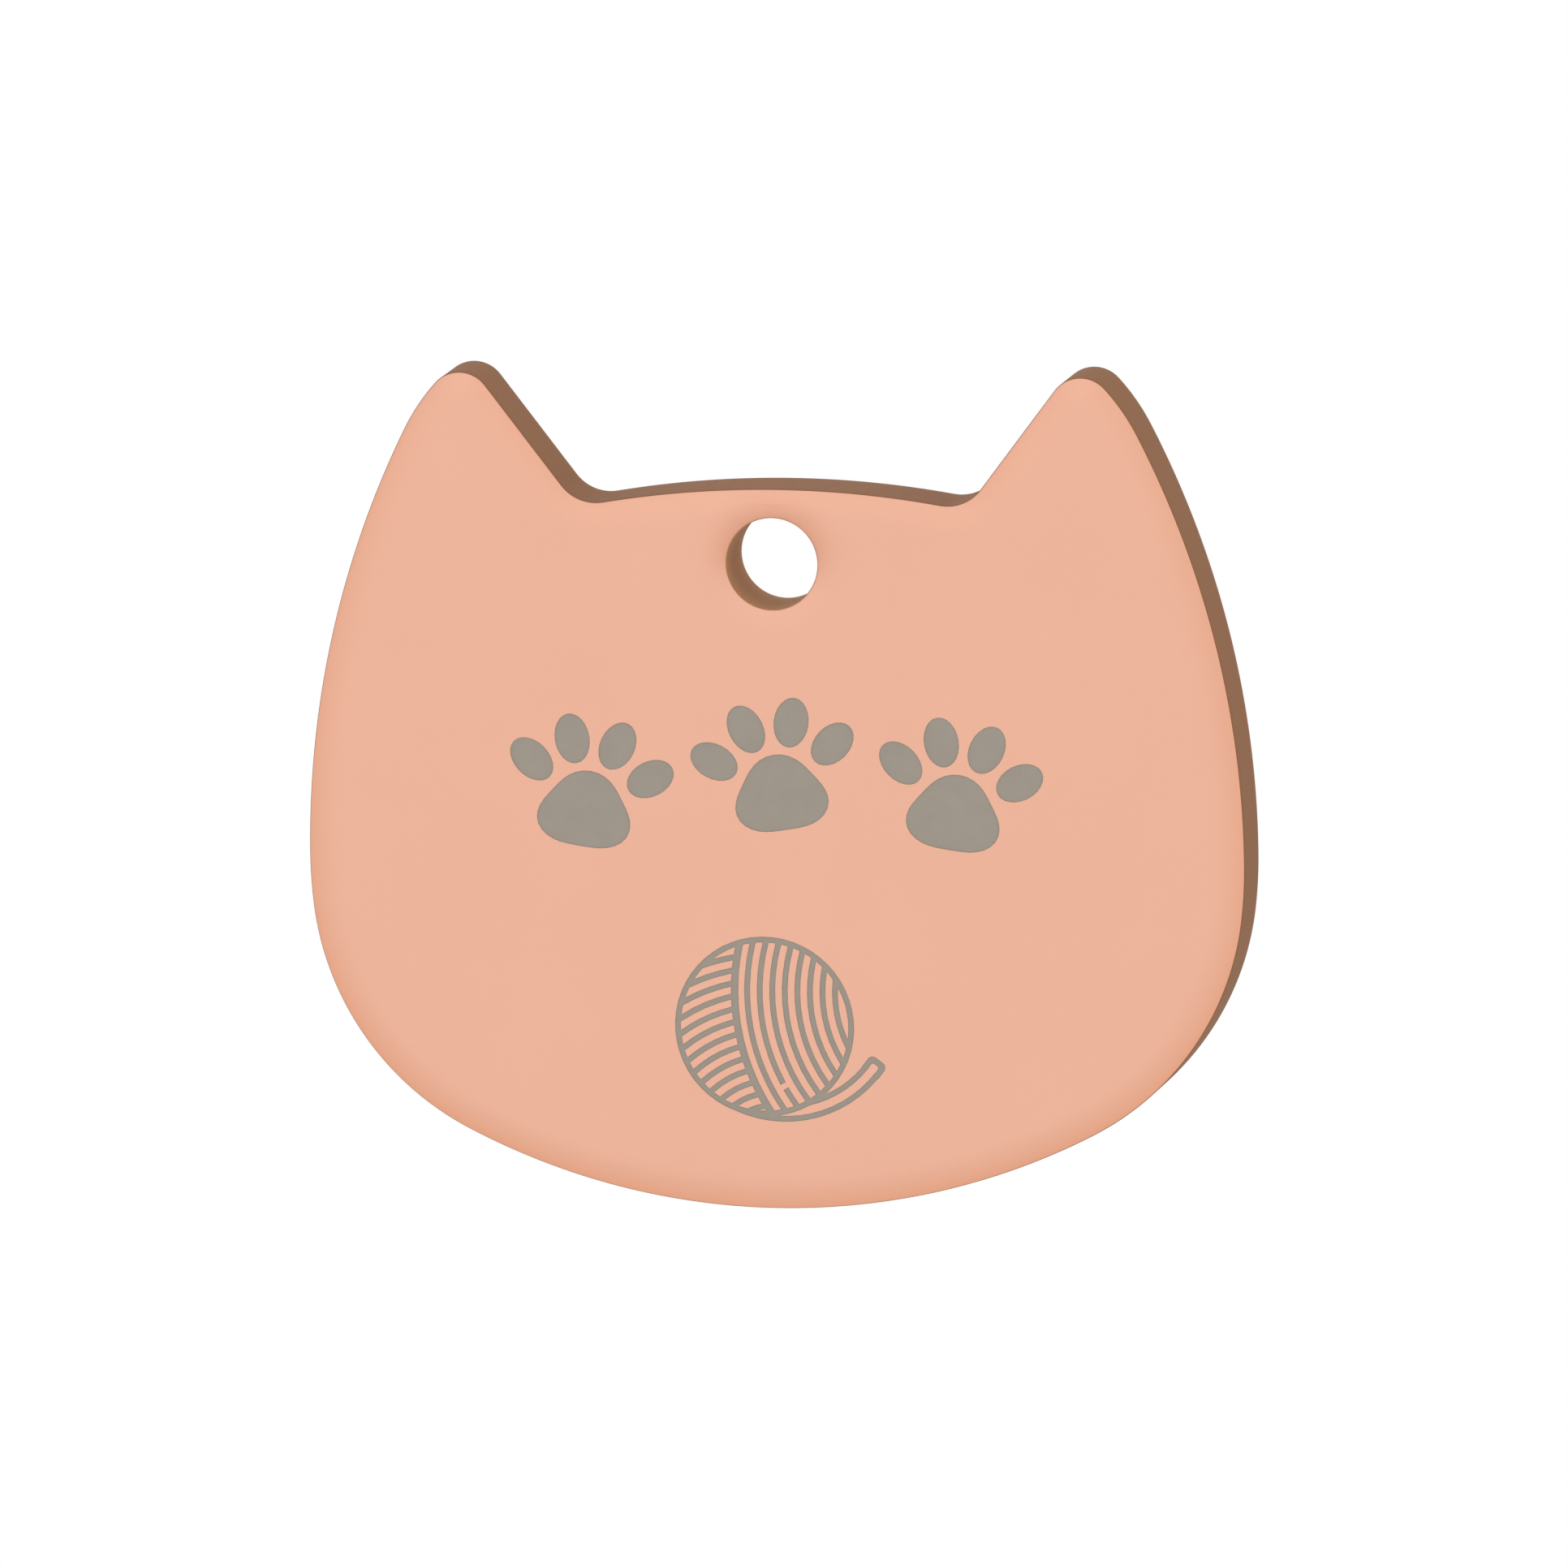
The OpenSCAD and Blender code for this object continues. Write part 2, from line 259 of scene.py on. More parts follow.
@dataclass(frozen=True)
class CatHeadOutline:
    """The cat-head outline: arcs that meet smoothly, and a straight flank inside each ear.

    Width, ear height and chin depth come from the frame.

    Attributes:
        width: Width between the sides.
        ear_rise: Height of the ear tips above the hole's middle.
        chin_drop: Depth of the chin below it.
        widest_share: Share of that depth at which the head is widest.
        chin_r, jaw_r, lower_side_r, upper_side_r: Radii from the chin up to the ear.
        ear_shoulder_r, ear_tip_r: Radii of the ear's outer bend and of its tip.
        ear_tuck: How far the tip lies inside the upper side's arc.
        ear_run: Distance across from the tip's centre to that of the corner at the ear's foot.
        corner_r: Radius of that corner.
        brow_rise, brow_r: Height and radius of the arc between the ears.
        step: Largest distance between sampled points.
    """

    width: float
    ear_rise: float
    chin_drop: float
    widest_share: float = 0.4575
    chin_r: float = 22.5
    jaw_r: float = 9.4
    lower_side_r: float = 14.9
    upper_side_r: float = 31.0
    ear_tip_r: float = 1.07
    ear_shoulder_r: float = 6.9
    ear_tuck: float = 0.17
    ear_run: float = 4.45
    brow_rise: float = 2.45
    brow_r: float = 33.0
    corner_r: float = 1.4
    step: float = 0.14

    def flank(self, start: Points, end: Points, normal: Points) -> tuple[Points, Points]:
        """Places points evenly along a straight stretch, its last point left to the next one.

        Args:
            start: Where it starts.
            end: Where it ends.
            normal: The plate's outward normal along it.

        Returns:
            The points, and the normal at each.
        """
        count = math.ceil(float(np.hypot(*(end - start))) / self.step)
        share = np.linspace(0.0, 1.0, count, endpoint=False)[:, None]
        return start + share * (end - start), np.tile(normal, (count, 1))

    def right_half(self) -> tuple[Points, Points]:
        """Samples the right half from the chin's middle up to, but without, the brow's middle.

        Each arc's centre lies on the line through its neighbour's centre and the point where the
        two arcs touch, so it is found where two circles of the differences of the radii meet.

        Returns:
            The points, and the outward normal at each.
        """
        widest = -self.widest_share * self.chin_drop
        chin = np.array([0.0, self.chin_r - self.chin_drop])
        lower = np.array([self.width / 2 - self.lower_side_r, widest])
        upper = np.array([self.width / 2 - self.upper_side_r, widest])
        jaw = circles_meet(lower, self.lower_side_r - self.jaw_r, chin, self.chin_r - self.jaw_r)
        tip_z = self.ear_rise - self.ear_tip_r
        tip_reach = self.upper_side_r - self.ear_tip_r - self.ear_tuck
        tip = np.array([upper[0] + math.sqrt(tip_reach**2 - (tip_z - upper[1]) ** 2), tip_z])
        shoulder = circles_meet(
            upper, self.upper_side_r - self.ear_shoulder_r, tip, self.ear_shoulder_r - self.ear_tip_r
        )
        brow = np.array([0.0, self.brow_rise - self.brow_r])
        corner_x = tip[0] - self.ear_run
        corner_z = brow[1] + math.sqrt((self.brow_r + self.corner_r) ** 2 - corner_x**2)
        corner = np.array([corner_x, corner_z])
        span = float(np.hypot(*(tip - corner)))
        turn = angle_of(tip - corner) - math.acos((self.ear_tip_r + self.corner_r) / span)
        brow_angle = angle_of(corner - brow)
        jaw_start, jaw_end = angle_of(jaw - chin), angle_of(jaw - lower)
        shoulder_start, shoulder_end = angle_of(shoulder - upper), angle_of(tip - shoulder)
        below = [
            Arc(chin, self.chin_r, -math.pi / 2, jaw_start),
            Arc(jaw, self.jaw_r, jaw_start, jaw_end),
            Arc(lower, self.lower_side_r, jaw_end, 0.0),
            Arc(upper, self.upper_side_r, 0.0, shoulder_start),
            Arc(shoulder, self.ear_shoulder_r, shoulder_start, shoulder_end),
            Arc(tip, self.ear_tip_r, shoulder_end, turn + math.pi),
        ]
        above = [
            Arc(corner, self.corner_r, turn, brow_angle - math.pi, hollow=True),
            Arc(brow, self.brow_r, brow_angle, math.pi / 2),
        ]
        across = unit(turn)
        stretches = [arc.sample(self.step) for arc in below]
        stretches.append(
            self.flank(tip - self.ear_tip_r * across, corner + self.corner_r * across, -across)
        )
        stretches += [arc.sample(self.step) for arc in above]
        points, normals = zip(*stretches)
        return np.concatenate(points), np.concatenate(normals)

    def loop(self) -> tuple[Points, Points]:
        """Samples the whole outline counterclockwise, as seen from the front.

        Returns:
            The points, and the outward normal at each.
        """
        points, normals = self.right_half()
        mirror = np.array([-1.0, 1.0])
        points = np.concatenate([points, [[0.0, self.brow_rise]], points[:0:-1] * mirror])
        normals = np.concatenate([normals, [[0.0, 1.0]], normals[:0:-1] * mirror])
        return points, normals


@dataclass
class SurfaceParts:
    """Sheets of faces that are joined into one closed mesh at the end.

    Attributes:
        weld: Distance under which points are taken as one.
        sharp_angle: Degrees between two faces from which their edge shows as sharp.
    """

    weld: float = 0.002
    sharp_angle: float = 32.0
    points: list[Points] = field(default_factory=list)
    faces: list[Faces] = field(default_factory=list)
    zones: list[Faces] = field(default_factory=list)
    # Painted shade at the points of each sheet, one column a kind.
    painted_shades: list[Points] = field(default_factory=list)
    total: int = 0

    def add(self, points: Points, faces: Faces, zone: Zone | Faces, painted_shade: Points) -> None:
        """Adds a sheet.

        Args:
            points: Its points in space, one row each.
            faces: Its quads or triangles, a triangle with its last corner twice.
            zone: The zone of the whole sheet, or of each face.
            painted_shade: How much shade of each kind is painted in at each point, one column a kind.
        """
        self.points.append(points)
        self.faces.append(faces + self.total)
        self.zones.append(np.broadcast_to(np.asarray(zone, dtype=np.int64), (len(faces),)))
        self.painted_shades.append(painted_shade)
        self.total += len(points)

    def joined(self, name: str) -> bpy.types.Mesh:
        """Puts the sheets into one mesh, in metres, with the painted shade stored on its points.

        Args:
            name: Name of the mesh.

        Returns:
            The mesh, its sheets not yet welded.
        """
        points = np.concatenate(self.points) * METRES_PER_MM
        faces = np.concatenate(self.faces)
        has_fourth = faces[:, 3] != faces[:, 2]
        sizes = np.where(has_fourth, 4, 3)
        corners = faces[np.column_stack([np.ones((len(faces), 3), bool), has_fourth])]
        mesh = bpy.data.meshes.new(name)
        mesh.vertices.add(len(points))
        mesh.vertices.foreach_set("co", points.ravel())
        mesh.loops.add(len(corners))
        mesh.loops.foreach_set("vertex_index", corners)
        mesh.polygons.add(len(faces))
        mesh.polygons.foreach_set("loop_start", np.concatenate([[0], np.cumsum(sizes)[:-1]]))
        mesh.polygons.foreach_set("material_index", np.concatenate(self.zones))
        mesh.update(calc_edges=True)
        painted_shades = np.concatenate(self.painted_shades)
        for kind in PaintedShade:
            layer = mesh.attributes.new(kind.name, "FLOAT", "POINT")
            layer.data.foreach_set("value", np.ascontiguousarray(painted_shades[:, kind]))
        return mesh

    def build(self, name: str) -> bpy.types.Object:
        """Makes one object at the origin, its sheets welded at their rims and facing outwards.

        Args:
            name: Name of the object.

        Returns:
            The object.
        """
        mesh = self.joined(name)
        work = bmesh.new()
        work.from_mesh(mesh)
        bmesh.ops.remove_doubles(work, verts=work.verts, dist=self.weld * METRES_PER_MM)
        bmesh.ops.recalc_face_normals(work, faces=work.faces)
        open_edges = sum(not edge.is_manifold for edge in work.edges)
        work.to_mesh(mesh)
        work.free()
        mesh.shade_smooth()
        mesh.set_sharp_from_angle(angle=math.radians(self.sharp_angle))
        mesh.update()
        if open_edges:
            LOG.warning("%s has %d open edges", name, open_edges)
        piece = bpy.data.objects.new(name, mesh)
        bpy.context.scene.collection.objects.link(piece)
        return piece


@dataclass
class FlatPattern:
    """Closed outlines and loose points in the flat, cut into triangles that keep the outlines.

    Attributes:
        merge: Distance under which the cut takes points as one.
    """

    merge: float = 0.00001
    points: list[Points] = field(default_factory=list)
    edges: list[Faces] = field(default_factory=list)
    total: int = 0

    def add(self, points: Points, edges: Faces | None = None) -> None:
        """Adds points, and the edges among them that the triangles have to keep."""
        self.points.append(points)
        if edges is not None:
            self.edges.append(edges + self.total)
        self.total += len(points)

    def triangles(self) -> tuple[Points, Faces]:
        """Cuts the pattern's convex hull into triangles by constrained Delaunay triangulation.

        Returns:
            The points, and the triangles, all counterclockwise.
        """
        points, edges = np.concatenate(self.points), np.concatenate(self.edges)
        made = geometry.delaunay_2d_cdt(points.tolist(), edges.tolist(), [], 0, self.merge, False)
        points, faces = np.array(made[0], dtype=np.float64), np.array(made[2], dtype=np.int64)
        a, b, c = points[faces[:, 0]], points[faces[:, 1]], points[faces[:, 2]]
        area = (b[:, 0] - a[:, 0]) * (c[:, 1] - a[:, 1]) - (c[:, 0] - a[:, 0]) * (b[:, 1] - a[:, 1])
        faces = np.where((area < 0)[:, None], faces[:, ::-1], faces)
        return points, faces


@dataclass(frozen=True)
class Engraving:
    """The outlines of the enamel fills, read from the frame's own pieces.

    Attributes:
        nodes: Names of the fills.
        decimals: Decimals that a corner's place is rounded to, so that neighbours share corners.
        flatness: How far behind the frontmost corner a corner of the front face may lie.
    """

    nodes: tuple[str, ...]
    decimals: int = 4
    flatness: float = 0.001

    def front_edges(self) -> tuple[Points, Points]:
        """Finds the border of the fills' front faces.

        A fill's front face is made of the triangles whose corners all have its least Y. An edge
        that belongs to only one of them lies on the border.

        Returns:
            Where each edge of the border starts and where it ends, in the flat.
        """
        starts, ends = [], []
        for node in self.nodes:
            mesh = bpy.data.objects[node].data
            flat = np.empty(len(mesh.vertices) * 3)
            mesh.vertices.foreach_get("co", flat)
            rounded = np.round(flat.reshape(-1, 3) / METRES_PER_MM, self.decimals)
            spots, number = np.unique(rounded, axis=0, return_inverse=True)
            corners = np.empty(len(mesh.polygons) * 3, dtype=np.int64)
            mesh.polygons.foreach_get("vertices", corners)
            faces = number.ravel()[corners].reshape(-1, 3)
            foremost = spots[:, 1].min()
            front = faces[(spots[faces, 1] < foremost + self.flatness).all(axis=1)]
            edges, uses = np.unique(np.sort(sides_of(front)), axis=0, return_counts=True)
            border = edges[uses == 1]
            starts.append(spots[border[:, 0]][:, [0, 2]])
            ends.append(spots[border[:, 1]][:, [0, 2]])
        return np.concatenate(starts), np.concatenate(ends)


@dataclass
class TagPlate:
    """The plate: a rolled edge all round, a dished and rounded hanging hole, and its recesses.

    Attributes:
        outline, engraving: What the plate and its recesses follow.
        thickness: Thickness between the flats of the two faces.
        edge_w, edge_drop: Width of the rolled edge, and how far it falls.
        edge_fillet_r: Radius of the small arc between the rolled edge and the wall.
        fillet_steps, wall_steps: Points on that arc, and on half the wall.
        band_w, band_steps: Width of the band of even rings along the outline, and points across.
        hole_r, hole_round: Radius of the bore, and of the rounding at its ends.
        dish_w, dish_drop, dish_steps: Width, depth and rings of the dish round the hole.
        hole_points: Points round the hole.
        recess_d: Depth of the recesses.
        grid: Distance between points on the flat part of a face.
        ring_gap: Distance between the rings of points inside the band.
        painted_shade_w: Distance from an edge within which shade is painted into the colour.
            painted_shade_level, painted_shade_slope: Share of painted shade at an upright edge, and
            what it gains as an edge turns to look down, away from the light above.
    """

    outline: CatHeadOutline
    engraving: Engraving
    thickness: float
    edge_w: float = 0.95
    edge_drop: float = 0.1
    edge_fillet_r: float = 0.07
    fillet_steps: int = 6
    wall_steps: int = 4
    band_w: float = 0.5
    band_steps: int = 6
    hole_r: float = 1.5
    hole_round: float = 0.08
    dish_w: float = 0.7
    dish_drop: float = 0.04
    dish_steps: int = 7
    hole_points: int = 160
    recess_d: float = 0.2
    grid: float = 0.55
    ring_gap: float = 0.1
    # Painted shade: how far it reaches from an edge, and how it grows on edges that look down.
    painted_shade_w: float = 1.3
    painted_shade_level: float = 0.62
    painted_shade_slope: float = 0.38
    points: Points = field(init=False)
    normals: Points = field(init=False)

    def __post_init__(self) -> None:
        """Samples the outline."""
        self.points, self.normals = self.outline.loop()

    @property
    def edge_r(self) -> float:
        """Radius of the rolled edge's arc, from its width and its fall."""
        return (self.edge_w**2 + self.edge_drop**2) / (2 * self.edge_drop)

    @property
    def lip_r(self) -> float:
        """Radius at which the hole's rounding begins."""
        return self.hole_r + self.hole_round

    def edge_depth(self, inset: Points) -> Points:
        """Gives how far the rolled edge lies below the face.

        It is a shallow arc, level with the face at the edge's width and lowest at the outline.

        Args:
            inset: Distance inside the outline.

        Returns:
            The depth at each.
        """
        left = np.clip(self.edge_w - inset, 0.0, self.edge_w)
        return self.edge_r - np.sqrt(self.edge_r**2 - left**2)

    def inset_of(self, points: Points) -> tuple[Points, Points]:
        """Measures how far points lie inside the outline.

        The distance is taken along the normal of the nearest point of the outline.

        Args:
            points: Points in the flat.

        Returns:
            The distances, and the outward normal of the outline nearest to each point.
        """
        near = []
        for block in blocks(points, len(self.points)):
            gap = block[:, None, :] - self.points[None, :, :]
            near.append(np.argmin((gap**2).sum(axis=2), axis=1))
        nearest = np.concatenate(near)
        normal = self.normals[nearest]
        return ((self.points[nearest] - points) * normal).sum(axis=1), normal

    def face_depth(self, points: Points) -> Points:
        """Gives the depth of the face's surface: the rolled edge and the dish round the hole.

        The dish falls with the square of the distance inside its rim.

        Args:
            points: Points in the flat.

        Returns:
            The depth below the flat of the face at each.
        """
        inset, _ = self.inset_of(points)
        left = np.clip(1 - (np.hypot(*points.T) - self.lip_r) / self.dish_w, 0.0, 1.0)
        return self.edge_depth(inset) + self.dish_drop * left**2

    def painted_shade_at(self, points: Points) -> Points:
        """Gives the painted shade: most along lower and side edges, which look away from the light.

        It is the square of the share of the painted shade's width that is left between a point and
        the edge, times a smooth step that rises as that edge turns to look down.

        Args:
            points: Points in the flat.

        Returns:
            A value from 0 to 1 for each kind of painted shade, one row a point.
        """
        inset, normal = self.inset_of(points)
        radius = np.hypot(*points.T)
        # Painted shade: deepest where the outline or the hole's rim looks down, away from the light
        # above.
        edge = np.clip(1 - inset / self.painted_shade_w, 0.0, 1.0) ** 2
        edge = edge * smooth_step(self.painted_shade_level - self.painted_shade_slope * normal[:, 1])
        hole_up = -points[:, 1] / np.maximum(radius, self.hole_r)
        hole = np.clip(1 - (radius - self.hole_r) / self.painted_shade_w, 0.0, 1.0) ** 2
        hole = hole * smooth_step(self.painted_shade_level - hole_up)
        return np.column_stack([edge, hole])

    def placed(self, flat: Points, depth: Points, back: bool = False) -> Points:
        """Stands flat points up in space, at a depth below the front or the back."""
        y = self.thickness / 2 - depth if back else depth - self.thickness / 2
        return np.column_stack([flat[:, 0], y, flat[:, 1]])

    def edge_profile(self) -> Points:
        """Works out the section of the edge, from the band's inner rim on the front to mid-wall.

        The section is the rolled edge's arc, a small arc that touches it and the wall, and the
        wall itself.

        Returns:
            Pairs of inset and depth, one row each.
        """
        small = self.edge_fillet_r
        level = self.edge_r - math.sqrt((self.edge_r - small) ** 2 - (self.edge_w - small) ** 2)
        turn = math.atan2(self.edge_w - small, self.edge_r - level)
        angle = np.linspace(turn, math.pi / 2, self.fillet_steps)
        fillet = np.column_stack([small - small * np.sin(angle), level - small * np.cos(angle)])
        inset = np.linspace(self.band_w, fillet[0, 0], self.band_steps)
        roll = np.column_stack([inset, self.edge_depth(inset)])[:-1]
        down = np.linspace(level, self.thickness / 2, self.wall_steps)[1:]
        wall = np.column_stack([np.zeros(len(down)), down])
        return np.concatenate([roll, fillet, wall])

    def add_edge(self, parts: SurfaceParts) -> None:
        """Carries the edge's section round the outline, front half and back half in one band.

        A point of the band is the outline's point, moved inwards along its normal by the inset.
        The wall's finish, a painted shade of brown, begins about halfway round the small arc.

        Args:
            parts: Where the band is added.
        """
        half = self.edge_profile()
        other = half[-2::-1] * np.array([1.0, -1.0]) + np.array([0.0, self.thickness])
        section = np.concatenate([half, other])
        rings, count = len(section), len(self.points)
        flat = self.points[None] - section[:, :1, None] * self.normals[None]
        flat = flat.reshape(-1, 2)
        depth = np.repeat(section[:, 1], count)
        reach = self.band_steps - 1 + self.fillet_steps // 3
        zones = band_zones(rings, count, reach, Zone.WALL)
        parts.add(self.placed(flat, depth), band_quads(rings, count), zones, self.painted_shade_at(flat))

    def add_bore(self, parts: SurfaceParts) -> None:
        """Turns the hole's section round its axis: a quarter round at each end of a straight bore.

        The bore's finish, a painted shade of brown, begins halfway round each quarter.

        Args:
            parts: Where the bore is added.
        """
        ray = circle(self.hole_points)
        level = self.face_depth(self.lip_r * ray)
        turn = np.linspace(0.0, math.pi / 2, self.fillet_steps + 1)
        radius = self.hole_r + self.hole_round * (1 - np.sin(turn))
        fall = self.hole_round * (1 - np.cos(turn))
        depth = level[None] + fall[:, None]
        share = np.linspace(0.0, 1.0, self.wall_steps)[1:, None]
        bore = depth[-1:] + share * (self.thickness / 2 - depth[-1:])
        depth = np.concatenate([depth, bore])
        radius = np.concatenate([radius, np.full(len(bore), self.hole_r)])
        depth = np.concatenate([depth, self.thickness - depth[-2::-1]])
        radius = np.concatenate([radius, radius[-2::-1]])
        rings, count = len(radius), len(ray)
        flat = (radius[:, None, None] * ray[None]).reshape(-1, 2)
        quads = band_quads(rings, count)[:, ::-1]
        zones = band_zones(rings, count, self.fillet_steps // 2, Zone.BORE)
        parts.add(self.placed(flat, depth.ravel()), quads, zones, self.painted_shade_at(flat))

    def grid_points(self) -> Points:
        """Places points inside the outline on a grid of even triangles.

        Each row is shifted by half a step against the last, and the rows lie the height of such
        a triangle apart, the root of three quarters of its side.

        Returns:
            The points, in the flat.
        """
        span = np.arange(-self.outline.width, self.outline.width, self.grid)
        across, up = np.meshgrid(span, span * math.sqrt(3 / 4))
        shift = np.where(np.arange(len(span)) % 2 == 0, 0.0, self.grid / 2)
        grid = np.column_stack([(across + shift[:, None]).ravel(), up.ravel()])
        return grid[inside_loop(grid, self.points)]

    def loose_points(self) -> Points:
        """Places the points that follow the rolled edge, the dish and the flat between them.

        Returns:
            Points in the flat that keep clear of the outline, the band and the hole.
        """
        insets = np.arange(self.band_w + self.ring_gap, self.painted_shade_w + 2 * self.ring_gap, self.ring_gap)
        rings = self.points[None, ::2] - insets[:, None, None] * self.normals[None, ::2]
        rings = rings.reshape(-1, 2)
        radii = self.lip_r + np.arange(1, self.dish_steps + 2) * self.dish_w / self.dish_steps
        dish = (radii[:, None, None] * circle(self.hole_points // 2)).reshape(-1, 2)
        grid = self.grid_points()
        grid = grid[self.inset_of(grid)[0] > insets[-1] + self.grid / 2]
        grid = grid[np.hypot(*grid.T) > radii[-1] + self.grid / 2]
        band_end = self.band_w + self.ring_gap / 2
        dish = dish[self.inset_of(dish)[0] > band_end]
        clear = np.hypot(*rings.T) > radii[-1] + self.ring_gap / 2
        rings = rings[clear & (self.inset_of(rings)[0] > band_end)]
        return np.concatenate([rings, dish, grid])

    def cut_flat(self, starts: Points, ends: Points) -> tuple[Points, Faces, Faces]:
        """Cuts the area between the edge's band and the hole into triangles.

        Args:
            starts: Where each edge of the recesses' outlines starts.
            ends: Where it ends.

        Returns:
            The points, the triangles of the face, and those of the recesses' floors.
        """
        rim = self.points - self.band_w * self.normals
        hole = self.lip_r * circle(self.hole_points)
        joins = np.arange(2 * len(starts)).reshape(2, -1).T
        pattern = FlatPattern()
        pattern.add(rim, closed_edges(len(rim)))
        pattern.add(hole, closed_edges(len(hole)))
        pattern.add(np.concatenate([starts, ends]), joins)
        pattern.add(self.loose_points())
        points, faces = pattern.triangles()
        middle = points[faces].mean(axis=1)
        on_plate = inside_loop(middle, rim) & ~inside_loop(middle, hole)
        in_recess = on_plate & inside(middle, starts, ends)
        return points, faces[on_plate & ~in_recess], faces[in_recess]

    def add_front(self, parts: SurfaceParts) -> None:
        """Fills the front between the edge's band and the hole, with its recesses.

        A depth is worked out for each point of a flat triangulation. Where a triangle of the
        face meets one of a recess, a wall joins their side down to the recess's floor.

        Args:
            parts: Where the front is added.
        """
        points, top, floor = self.cut_flat(*self.engraving.front_edges())
        depth, painted_shade = self.face_depth(points), self.painted_shade_at(points)
        parts.add(self.placed(points, depth), as_quads(top), Zone.FACE, painted_shade)
        total = len(points)
        key = np.array([total, 1])
        sides = sides_of(top)
        shared = np.isin(sides @ key, sides_of(floor)[:, ::-1] @ key)
        a, b = sides[shared].T
        walls = np.column_stack([b, a, a + total, b + total])
        deep = np.full(total, self.recess_d)
        both = np.concatenate([self.placed(points, depth), self.placed(points, deep)])
        sheet = np.concatenate([walls, as_quads(floor) + total])
        parts.add(both, sheet, Zone.WALL, np.concatenate([painted_shade, painted_shade]))

    def add_back(self, parts: SurfaceParts) -> None:
        """Fills the plain back between the edge's band and the hole, without recesses.

        Args:
            parts: Where the back is added.
        """
        nothing = np.empty((0, 2))
        points, top, _ = self.cut_flat(nothing, nothing)
        spots = self.placed(points, self.face_depth(points), back=True)
        parts.add(spots, as_quads(top[:, ::-1]), Zone.FACE, self.painted_shade_at(points))

    def build(self, finishes: dict[Zone, bpy.types.Material]) -> None:
        """Builds the plate in place of the frame's own and dresses it.

        Args:
            finishes: The material of each zone; the wall's and the bore's are painted shade.
        """
        parts = SurfaceParts()
        self.add_edge(parts)
        self.add_bore(parts)
        self.add_front(parts)
        self.add_back(parts)
        plate = parts.build("plate")
        for zone in Zone:
            plate.data.materials.append(finishes[zone])
        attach(plate, "root")
        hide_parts("tag_plate")
        LOG.info("plate: %d faces", len(plate.data.polygons))


@dataclass
class EnamelFills:
    """The enamel in the engraving: the frame's own pieces, dressed."""

    nodes: tuple[str, ...]

    def dress(self, finish: bpy.types.Material) -> None:
        """Gives each fill its finish as its only material."""
        for node in self.nodes:
            fill = bpy.data.objects[node]
            fill.data.materials.clear()
            fill.data.materials.append(finish)
            LOG.info("fill: %s", node)


class NodeGraph:
    """The nodes of a material or of the world, added and joined by name."""

    WHITE = (1.0, 1.0, 1.0, 1.0)

    def __init__(self, tree: bpy.types.NodeTree) -> None:
        """Takes the tree that the nodes are in."""
        self.tree = tree

    def add(self, kind: str, **settings: object) -> bpy.types.Node:
        """Adds a node and sets its options.

        Args:
            kind: The node's type, without its common first word.
            **settings: Options by name.

        Returns:
            The node.
        """
        node = self.tree.nodes.new("ShaderNode" + kind)
        for name, value in settings.items():
            setattr(node, name, value)
        return node

    def join(self, start: Socket, end: Socket) -> None:
        """Joins an output to an input."""
        self.tree.links.new(start, end)

    def combined(self, operation: str, first: Socket, second: Socket) -> Socket:
        """Works out one number from two, by an operation of the Math node."""
        node = self.add("Math", operation=operation)
        self.join(first, node.inputs[0])
        self.join(second, node.inputs[1])
        return node.outputs["Value"]

    def carried(
        self, value: Socket, span: Pair = (0.0, 1.0), results: Pair = (0.0, 1.0), **settings: object
    ) -> Socket:
        """Carries a span of values over to another.

        Args:
            value: The value.
            span: Lower and upper end of the span that it comes from.
            results: What these become.
            **settings: Further options of the node.

        Returns:
            The result.
        """
        node = self.add("MapRange", **settings)
        names = ("From Min", "From Max", "To Min", "To Max")
        for name, number in zip(names, (*span, *results)):
            node.inputs[name].default_value = number
        self.join(value, node.inputs["Value"])
        return node.outputs["Result"]

    def seen_ray(self) -> Socket:
        """Tells rays that show something to the eye, straight or in metal and glass, from light.

        Returns:
            A socket that gives 1 for such a ray and 0 for any other.
        """
        path = self.add("LightPath")
        seen = path.outputs["Is Camera Ray"]
        for name in ("Is Glossy Ray", "Is Transmission Ray"):
            seen = self.combined("MAXIMUM", seen, path.outputs[name])
        return seen


